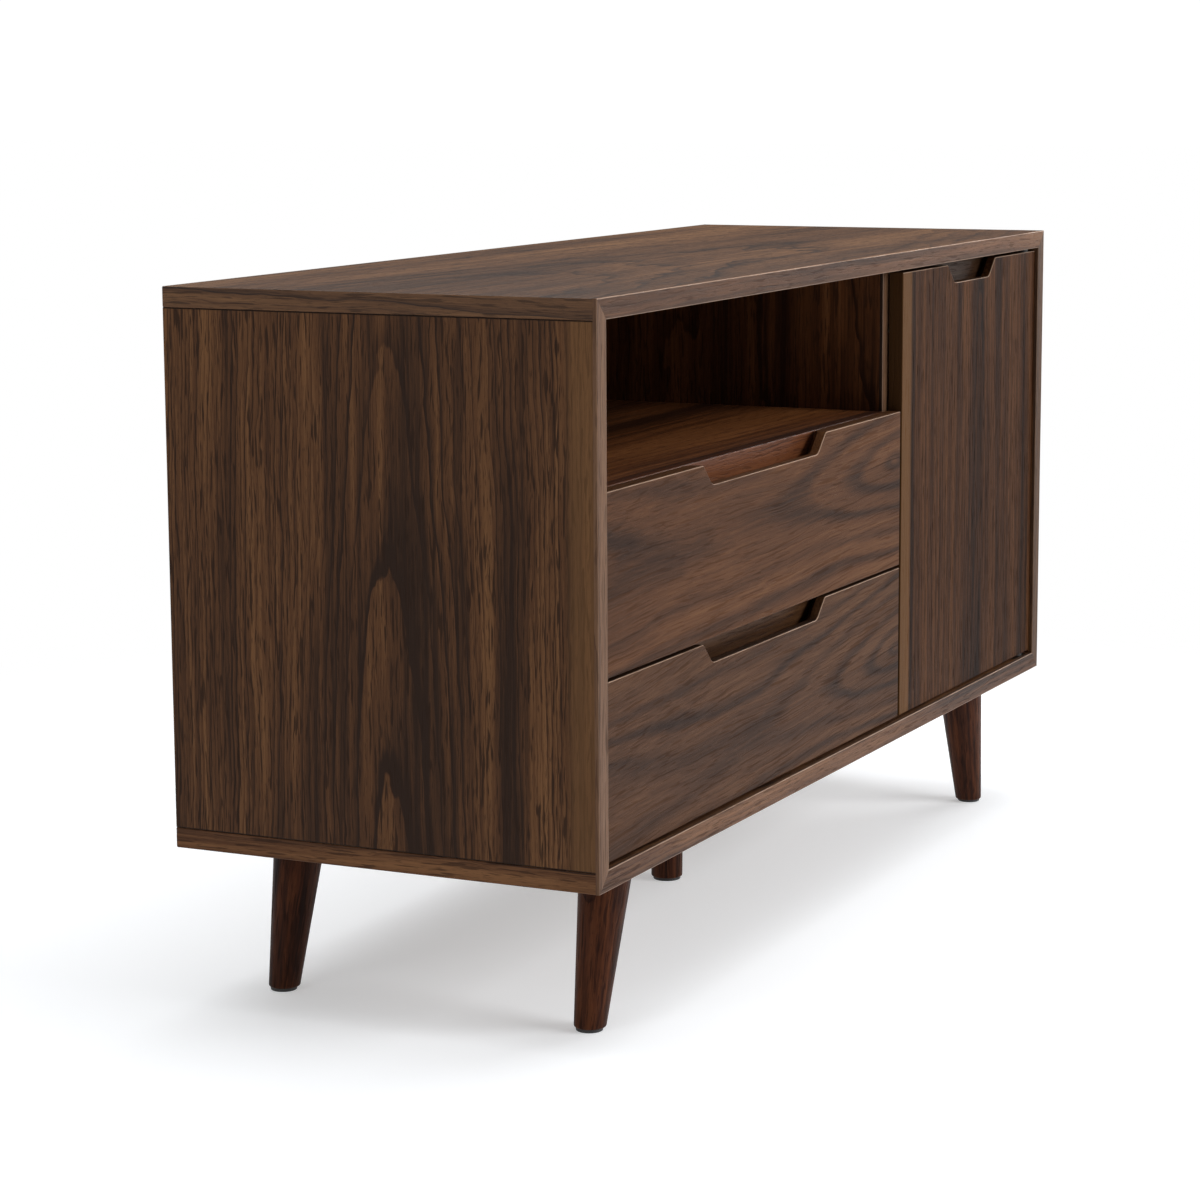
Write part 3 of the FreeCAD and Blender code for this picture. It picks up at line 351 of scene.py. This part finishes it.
def walnut(
    name,
    axes,
    shift,
    tones=TONES,
    gloss=0.12,
    turn=(0, 0, 0),
    strip=None,
    seams=None,
    edges=0.0,
    square=0.95,
    worn=1.0,
    **figure,
):
    """A walnut piece. Shift is where in the log it was cut, and axes is how its grain was laid. Strip is
    an axis with the two places between which the piece turns to pale sapwood, and seams the heights of the
    glued joints at its ends, along each of which a thin line of painted shade stands for the shaded groove.
    Edges is how much painted shade darkens its narrow faces, which stand in the shaded gaps between parts;
    they are those that look along X or Z by at least the share called square. Highlight_and_wear is how much
    of the painted highlight and wear of its top arris the other front arrises have, or None for a piece
    with no pale arris. Figure holds values for the walnut_figure group, such as ring_width."""
    material, tree, shader = new_material(name)
    spot = tree.nodes.new("ShaderNodeTexCoord").outputs
    laid = spot["Object"]
    if axes is not None:
        laid = use(tree, axes, {"Vector": laid, "Normal": spot["Normal"]})["Vector"]
    cut = put(tree, "ShaderNodeMapping", {"Vector": laid, "Location": shift, "Rotation": turn}).outputs[0]
    sockets = {key.replace("_", " ").title(): value for key, value in figure.items()}
    sockets.update({"Vector": cut, "Pale": tones[0], "Middle": tones[1], "Dark": tones[2]})
    wood = use(tree, FIGURE, sockets)
    colour = wood["Color"]
    if strip is not None:
        axis, inner, outer = strip
        where = put(tree, "ShaderNodeSeparateXYZ", {0: spot["Object"]}).outputs[axis]
        share = calc(tree, "MULTIPLY", band(tree, where, inner, outer), SAPWOOD_SHARE)
        colour = blend(tree, share, colour, SAPWOOD)
    # Painted shade darkens the narrow faces, which stand in the shaded gaps between the fronts
    if edges:
        way = put(tree, "ShaderNodeSeparateXYZ", {0: spot["Normal"]}).outputs
        most = calc(tree, "MAXIMUM", calc(tree, "ABSOLUTE", way["X"]), calc(tree, "ABSOLUTE", way["Z"]))
        narrow = calc(tree, "MULTIPLY", calc(tree, "GREATER_THAN", most, square), edges)
        colour = blend(tree, narrow, colour, tones[2])
    # A thin line of painted shade at each joint, where the groove between the boards is shaded
    if seams is not None:
        height = put(tree, "ShaderNodeSeparateXYZ", {0: spot["Object"]}).outputs["Z"]
        gaps = [calc(tree, "ABSOLUTE", calc(tree, "SUBTRACT", height, place)) for place in seams]
        seam_shade = band(tree, calc(tree, "MINIMUM", *gaps), *SEAM_SHADE_LINE)
        colour = blend(tree, calc(tree, "MULTIPLY", seam_shade, SEAM_SHADE_CONTRAST), colour, SEAM_SHADE)
    # Pale front arrises: painted highlight and wear
    if worn is not None:
        sockets = {"Vector": spot["Object"], "Normal": spot["Normal"], "Color": colour, "Sides": worn}
        colour = use(tree, HIGHLIGHT_AND_WEAR, sockets)["Color"]
    tree.links.new(colour, shader.inputs["Base Color"])
    tree.links.new(wood["Roughness"], shader.inputs["Roughness"])
    shader.inputs["Specular IOR Level"].default_value = gloss
    bump(tree, shader, wood["Height"], WOOD_RELIEF)
    return material


def tinted(tones, factor):
    """The three tones, made lighter or darker, or warmer with a factor for each channel."""
    factors = factor if isinstance(factor, tuple) else (factor,) * 3
    return tuple(tuple(c * f for c, f in zip(tone[:3], factors)) + (1,) for tone in tones)


def birch(name, axes, shift, through=None, start=0.0):
    """Clear-lacquered birch: pale, fine and nearly plain. Through is the axis through a plywood board
    and start is where its first layer begins."""
    material, tree, shader = new_material(name)
    spot = tree.nodes.new("ShaderNodeTexCoord").outputs
    laid = use(tree, axes, {"Vector": spot["Object"], "Normal": spot["Normal"]})["Vector"]
    cut = put(tree, "ShaderNodeMapping", {"Vector": laid, "Location": shift}).outputs[0]
    broad = noise(tree, cut, (2.0, 30.0, 30.0), 3.0).outputs[0]
    fine = noise(tree, cut, (14.0, 500.0, 500.0), 3.0, 0.6).outputs[0]
    shade = calc(tree, "MULTIPLY_ADD", fine, 0.5, calc(tree, "MULTIPLY", broad, 0.6))
    colour = blend(tree, band(tree, shade, 0.3, 0.8), BIRCH_PALE, BIRCH_DARK)
    if through is not None:
        way = put(tree, "ShaderNodeSeparateXYZ", {0: spot["Normal"]}).outputs[through]
        where = put(tree, "ShaderNodeSeparateXYZ", {0: spot["Object"]}).outputs[through]
        edge = calc(tree, "LESS_THAN", calc(tree, "ABSOLUTE", way), 0.7)
        sockets = {"Color": colour, "Through": calc(tree, "SUBTRACT", where, start), "Share": edge}
        colour = use(tree, PLY_EDGE, sockets)["Color"]
    tree.links.new(colour, shader.inputs["Base Color"])
    tree.links.new(calc(tree, "MULTIPLY_ADD", fine, 0.2, 0.35), shader.inputs["Roughness"])
    bump(tree, shader, fine, BIRCH_RELIEF)
    return material


def steel(name, colour, dark, rough=0.3):
    """Plated steel with the fine lines of rolling and a mottled plating."""
    material, tree, shader = new_material(name)
    spot = tree.nodes.new("ShaderNodeTexCoord").outputs["Object"]
    lines = noise(tree, spot, (900.0, 25.0, 900.0), 3.0, 0.6).outputs[0]
    mottle = noise(tree, spot, (140.0, 140.0, 140.0), 2.0).outputs[0]
    both = calc(tree, "MULTIPLY_ADD", lines, 0.5, calc(tree, "MULTIPLY", mottle, 0.5))
    mixed = blend(tree, band(tree, both, 0.3, 0.7), colour, dark)
    tree.links.new(mixed, shader.inputs["Base Color"])
    tree.links.new(calc(tree, "MULTIPLY_ADD", lines, 0.25, rough - 0.1), shader.inputs["Roughness"])
    shader.inputs["Metallic"].default_value = 1.0
    bump(tree, shader, lines, STEEL_RELIEF)
    return material


def moulded(name, colour, dark, rough=0.5, grain=600.0):
    """Moulded plastic or powder coat with a fine even texture."""
    material, tree, shader = new_material(name)
    spot = tree.nodes.new("ShaderNodeTexCoord").outputs["Object"]
    fine = noise(tree, spot, (grain,) * 3, 2.0).outputs[0]
    broad = noise(tree, spot, (30.0,) * 3, 2.0).outputs[0]
    tree.links.new(blend(tree, band(tree, broad, 0.3, 0.7), colour, dark), shader.inputs["Base Color"])
    tree.links.new(calc(tree, "MULTIPLY_ADD", fine, 0.2, rough - 0.1), shader.inputs["Roughness"])
    bump(tree, shader, fine, MOULDED_RELIEF)
    return material


def dress(material, *names):
    """Gives CAD nodes their finish."""
    for name in names:
        for slot in nodes[name].material_slots:
            slot.material = material


SIDE_STRIP = (0.030, 0.016)  # distances from the front edge where the sapwood starts and is full
DOOR_STRIP = (0.032, 0.022)  # the same, from the left edge of the door
LEG_SPLAY = math.radians(14.0)


def dress_boards():
    """Every veneered board gets its own cut of the log. The left side has a strip of sapwood by its front."""
    # Greyer, bluer tones on the top: painted sheen of the overhead light
    cool_sheen = tinted(TONES, (0.95, 1.02, 1.05))
    top = walnut(
        "top_veneer",
        FLAT_BOARD,
        (0.3, 0.05, 0.0),
        cool_sheen,
        0.22,
        dip=0.03,
        ring_width=0.006,
        wander=0.038,
        rings=0.7,
        stripes=0.8,
        zones=0.6,
    )
    dress(top, "top_panel")
    bottom = walnut("bottom_veneer", FLAT_BOARD, (2.1, 0.4, 0.3), heart_depth=0.12, dip=0.03)
    dress(bottom, "bottom_panel")
    side_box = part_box("left_side_panel")
    front_edge = side_box[0][1]
    seams = (side_box[0][2], side_box[1][2])
    left = walnut(
        "left_side_veneer",
        UPRIGHT_BOARD,
        (0.04, 0.015, 0.6),
        tinted(TONES, (0.88, 0.88, 0.84)),
        strip=("Y", front_edge + SIDE_STRIP[0], front_edge + SIDE_STRIP[1]),
        seams=seams,
        heart_depth=0.004,
        dip=0.085,
        ring_width=0.038,
        crowding=22.0,
        wander=0.035,
        rings=0.95,
        stripes=0.9,
        zones=1.0,
        pores=1.3,
    )
    dress(left, "left_side_panel")
    right = walnut(
        "right_side_veneer",
        UPRIGHT_BOARD,
        (0.1, -0.04, -0.6),
        seams=seams,
        heart_depth=0.004,
        dip=0.07,
        ring_width=0.034,
        crowding=22.0,
        wander=0.05,
        zones=1.3,
    )
    dress(right, "right_side_panel")
    inside = tinted(TONES, (1.0, 0.85, 0.75))
    partition = walnut("partition_veneer", UPRIGHT_BOARD, (5.0, 0.03, 0.2), inside, heart_depth=0.10)
    dress(partition, "partition_panel")
    warm = tinted(TONES, (1.30, 1.05, 0.80))
    shelf = walnut(
        "cubby_shelf_veneer",
        FLAT_BOARD,
        (7.0, 0.3, -0.5),
        warm,
        heart_depth=0.1,
        rings=0.6,
        pores=0.6,
    )
    dress(shelf, "cubby_shelf")
    loose = walnut("loose_shelf_veneer", FLAT_BOARD, (9.0, 0.1, -0.4), heart_depth=0.06, dip=0.04)
    dress(loose, "cupboard_shelf")
    back = walnut("back_veneer", UPRIGHT_BOARD, (11.0, 0.2, -0.2), heart_depth=0.08, dip=0.03, wander=0.04)
    dress(back, "back_panel")


def dress_fronts():
    """Each drawer front shows swirls round a knot, which is named by its X and Z, and the door shows
    straight grain. Slope is how the grain leans, in degrees."""
    swirl = dict(
        heart_depth=0.0,
        dip=0.36,
        reach=0.20,
        wander=0.11,
        rings=0.48,
        softness=0.85,
        stripes=0.36,
        zones=0.26,
        pores=0.30,
        pore_length=2.6,
        worn=0.0,
    )
    face = -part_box("upper_drawer_front")[0][1]
    # The last column, edges, is how much painted shade darkens each front's narrow faces in the gaps
    for name, knot, ring, slope, tint, edges in (
        ("upper", (0.120, 0.455), 0.024, -2.0, (0.80, 0.76, 0.72), 0.35),
        ("lower", (0.128, 0.255), 0.018, -3.0, (0.67, 0.69, 0.75), 0.80),
    ):
        tilt = math.radians(slope)
        shift = (
            knot[1] * math.sin(tilt) - knot[0] * math.cos(tilt),
            -knot[0] * math.sin(tilt) - knot[1] * math.cos(tilt),
            face,
        )
        tones = tinted(TONES, tint)
        front = walnut(
            name + "_front_veneer",
            WIDE_FRONT,
            shift,
            tones,
            0.055,
            (0, 0, tilt),
            edges=edges,
            ring_width=ring,
            **swirl,
        )
        dress(front, name + "_drawer_front")
    door_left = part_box("door_panel")[0][0]
    # Painted shade darkens the door's narrow faces, which stand in the shaded gap beside the drawers
    door = walnut(
        "door_veneer",
        TALL_FRONT,
        (0.05, -0.39, 0.20),
        tinted(TONES, (0.42, 0.36, 0.29)),
        0.03,
        strip=("X", door_left + DOOR_STRIP[0], door_left + DOOR_STRIP[1]),
        heart_depth=0.02,
        dip=0.045,
        crowding=8.0,
        ring_width=0.010,
        stripes=1.5,
        zones=1.15,
        edges=0.55,
        square=0.5,
        worn=0.0,
    )
    dress(door, "door_panel")


def dress_edging():
    """Solid strips with their grain along them, and the strips behind the fronts."""
    straight = dict(
        heart_depth=0.2,
        dip=0.02,
        ring_width=0.005,
        wander=0.02,
        rings=0.5,
        stripes=0.8,
        pores=0.6,
    )
    lying = tinted(TONES, (0.92, 0.95, 1.08))
    dress(walnut("top_edging", WIDE_FRONT, (0.2, 0.3, 0.1), lying, **straight), "top_lipping")
    # Painted shade darkens the bottom lipping's narrow faces in the gap under the lower drawer
    bottom = walnut("bottom_edging", WIDE_FRONT, (0.5, 0.1, 0.1), lying, edges=0.6, **straight)
    dress(bottom, "bottom_lipping")
    # Greyer tones for the left and partition lippings: painted sheen of the light on their front faces
    pinkish_sheen = tinted(TONES, (0.84, 0.95, 1.25))
    # The last column, edges, is the painted shade on each lipping's narrow faces in the shaded gaps
    for name, shift, tones, edges in (
        ("left", (0.6, 0.5, 0.1), pinkish_sheen, 0.0),
        ("right", (0.9, 0.2, 0.1), tinted(TONES, 0.45), 0.0),
        ("partition", (1.2, 0.4, 0.1), tinted(pinkish_sheen, 0.8), 0.75),
    ):
        standing = walnut(
            name + "_edging",
            TALL_FRONT,
            shift,
            tones,
            0.16,
            edges=edges,
            worn=0.35,
            **straight,
        )
        dress(standing, name + "_lipping")
    red = tinted(TONES, (0.95, 0.70, 0.60))
    nosing = walnut("nosing_edging", WIDE_FRONT, (1.2, 0.7, 0.3), red, worn=None, **straight)
    dress(nosing, "shelf_nosing")
    # Darker copies of the walnut for the rail and the door stop: painted shade, as they sit in the shadow
    # behind the fronts
    shaded_behind = tinted(TONES, 0.50)
    dress(walnut("rail_wood", WIDE_FRONT, (2.2, 0.1, 0.5), shaded_behind, worn=None, **straight), "drawer_rail")
    stop = walnut("door_stop_wood", WIDE_FRONT, (2.7, 0.2, 0.5), tinted(shaded_behind, 0.5), worn=None, **straight)
    dress(stop, "door_stop")


def dress_legs():
    """Legs are solid walnut, redder and darker, with the grain along each leg's own axis."""
    tones = tinted(TONES, (0.54, 0.36, 0.30))
    legs = {
        "leg_front_left": LEG_SPLAY,
        "leg_front_right": -LEG_SPLAY,
        "leg_rear_left": LEG_SPLAY,
        "leg_rear_right": -LEG_SPLAY,
        "leg_centre": 0.0,
    }
    grain = dict(heart_depth=0.06, dip=0.03, ring_width=0.006, wander=0.01, rings=0.5, stripes=1.5, zones=0.6)
    for k, (name, lean) in enumerate(legs.items()):
        turn = (0, math.radians(90) - lean, 0)
        shift = (0.4 * k, 0.31 + 0.17 * k, 0.58)
        dress(walnut(name + "_wood", None, shift, tones, 0.10, turn, worn=None, **grain), name)


def dress_drawers():
    """Birch ply boxes: the layers show on every edge."""
    for drawer in ("upper_drawer", "lower_drawer"):
        for board, through, axes in (
            ("box_front", "Y", WIDE_FRONT),
            ("box_back", "Y", WIDE_FRONT),
            ("left_side", "X", SIDE_PLY),
            ("right_side", "X", SIDE_PLY),
        ):
            name = drawer + "_" + board
            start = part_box(name)[0]["XYZ".index(through)]
            dress(birch(name + "_ply", axes, (start, 0.2, 0), through, start), name)
        dress(birch(drawer + "_bottom_ply", FLAT_BOARD, (0.3, 0.1, 0)), drawer + "_bottom")


def dress_hardware():
    """Runners, fasteners, pivots, catch, glides and bumpers."""
    zinc = steel("bright_zinc", (0.60, 0.61, 0.62, 1), (0.46, 0.47, 0.48, 1))
    nickel = steel("nickel_plate", (0.55, 0.54, 0.52, 1), (0.42, 0.41, 0.39, 1), 0.25)
    runner_parts = ("_runner_members", "_runner_middles", "_outer_ball_cages", "_inner_ball_cages")
    for drawer in ("upper_drawer", "lower_drawer"):
        dress(zinc, *[drawer + part for part in runner_parts])
        dress(nickel, drawer + "_screws")
    dress(zinc, "runner_cabinet_members", "strike_plate", "leg_bolts")
    dress(nickel, "runner_cabinet_screws", "leg_plate_screws", "strike_plate_screw")
    dress(nickel, "shelf_pins", "catch_magnet")
    coat = moulded("black_powder_coat", (0.012, 0.012, 0.013, 1), (0.02, 0.02, 0.021, 1), 0.45, 900.0)
    dress(coat, "leg_plates")
    bronze = steel("dark_bronze", (0.035, 0.026, 0.020, 1), (0.022, 0.017, 0.014, 1), 0.45)
    dress(bronze, "pivot_plates", "pivot_plate_screws")
    plastic = moulded("brown_plastic", (0.05, 0.028, 0.018, 1), (0.04, 0.022, 0.014, 1))
    dress(plastic, "catch_barrel")
    nylon = moulded("black_nylon", (0.012, 0.011, 0.011, 1), (0.018, 0.017, 0.016, 1))
    dress(nylon, "leg_glides", "pivot_bushes")
    rubber = moulded("dark_rubber", (0.02, 0.017, 0.015, 1), (0.03, 0.026, 0.022, 1), 0.4)
    dress(rubber, "door_bumpers")
    dress(birch("beech", WIDE_FRONT, (5.0, 0, 0)), "carcass_dowels")


# Studio

CAMERA_PLACE = Vector((-3.087, -1.414, 0.860))
CAMERA_AZIMUTH = math.radians(-64.31)
CAMERA_ELEVATION = math.radians(9.28)
CAMERA_ROLL = math.radians(-0.306)
LENS = 98.62
SENSOR = 36.0
VIEW_REACH = 60.0

ROOM_SEEN = 1.05  # brightness of the room behind the object
ROOM_LIGHT = 0.16  # brightness of the room as a light
FLOOR_TONE = (0.70, 0.72, 0.745, 1)
FLOOR_SIZE = 60.0
FLOOR_GLOW = 0.39
FADE_START = 0.9  # metres from the middle of the object
FADE_END = 1.6


def aim(azimuth, elevation, roll):
    """The turn of a camera that looks along this azimuth (0 looks along +Y) and down from this elevation."""
    back = Vector(
        (
            math.sin(azimuth) * math.cos(elevation),
            -math.cos(azimuth) * math.cos(elevation),
            math.sin(elevation),
        )
    )
    right = (-back).cross(Vector((0, 0, 1))).normalized()
    up = back.cross(right)
    tilted_right = right * math.cos(roll) + up * math.sin(roll)
    tilted_up = up * math.cos(roll) - right * math.sin(roll)
    return Matrix((tilted_right, tilted_up, back)).transposed().to_4x4()


def add_camera():
    """A long lens from the left front, a little above the top."""
    data = bpy.data.cameras.new("camera")
    data.lens = LENS
    data.sensor_width = SENSOR
    data.clip_end = VIEW_REACH
    camera = bpy.data.objects.new("camera", data)
    turn = aim(CAMERA_AZIMUTH, CAMERA_ELEVATION, CAMERA_ROLL)
    camera.matrix_world = Matrix.Translation(CAMERA_PLACE) @ turn
    bpy.context.scene.collection.objects.link(camera)
    bpy.context.scene.camera = camera


def add_softbox(name, place, target, size, power):
    """A rectangular light of this width and height, and this power in watts."""
    data = bpy.data.lights.new(name, "AREA")
    data.shape = "RECTANGLE"
    data.size, data.size_y = size
    data.energy = power
    light = bpy.data.objects.new(name, data)
    light.location = place
    light.rotation_euler = (Vector(target) - Vector(place)).to_track_quat("-Z", "Y").to_euler()
    bpy.context.scene.collection.objects.link(light)


def add_floor():
    """A pale floor that fades into the white room a few steps away from the object."""
    bpy.ops.mesh.primitive_plane_add(size=FLOOR_SIZE, location=(0, 0, 0))
    floor = bpy.context.object
    floor.name = "studio_floor"
    material, tree, shader = new_material("pale_floor")
    shader.inputs["Base Color"].default_value = FLOOR_TONE
    shader.inputs["Roughness"].default_value = 0.45
    shader.inputs["Specular IOR Level"].default_value = 0.25
    spot = tree.nodes.new("ShaderNodeTexCoord").outputs["Object"]
    away = put(tree, "ShaderNodeVectorMath", {0: spot}, operation="LENGTH").outputs["Value"]
    white = put(tree, "ShaderNodeEmission", {"Strength": 1.0}).outputs[0]
    shader.inputs["Emission Color"].default_value = (1, 1, 1, 1)
    shader.inputs["Emission Strength"].default_value = FLOOR_GLOW
    faded = band(tree, away, FADE_START, FADE_END)
    mixed = put(tree, "ShaderNodeMixShader", {0: faded, 1: shader.outputs[0], 2: white})
    tree.links.new(mixed.outputs[0], tree.nodes["Material Output"].inputs["Surface"])
    floor.data.materials.append(material)


def add_surround():
    """A white room: fully white behind the object, dimmer as a light, so that hollows stay dark."""
    world = bpy.data.worlds.new("white_room")
    bpy.context.scene.world = world
    world.use_nodes = True
    tree = world.node_tree
    background = tree.nodes["Background"]
    background.inputs["Color"].default_value = (1.0, 1.0, 1.0, 1)
    seen = put(tree, "ShaderNodeLightPath").outputs["Is Camera Ray"]
    strength = calc(tree, "MULTIPLY_ADD", seen, ROOM_SEEN - ROOM_LIGHT, ROOM_LIGHT)
    tree.links.new(strength, background.inputs["Strength"])


def light_studio():
    """One large light overhead and three around the object, all aimed at its middle or its legs."""
    add_surround()
    middle = (0, 0, 0.3)
    legs = (0, 0, 0.1)
    add_softbox("overhead", (0.2, 0.2, 3.0), middle, (3.5, 3.0), 110.0)
    add_softbox("front", (0.4, -3.4, 1.8), middle, (2.4, 1.4), 100.0)
    add_softbox("left", (-3.4, 0.9, 1.6), middle, (1.6, 1.6), 16.0)
    add_softbox("right", (3.2, -1.2, 1.5), legs, (1.8, 1.4), 42.0)


bpy.context.scene.view_settings.view_transform = "Standard"
dress_boards()
dress_fronts()
dress_edging()
dress_legs()
dress_drawers()
dress_hardware()
add_floor()
light_studio()
add_camera()
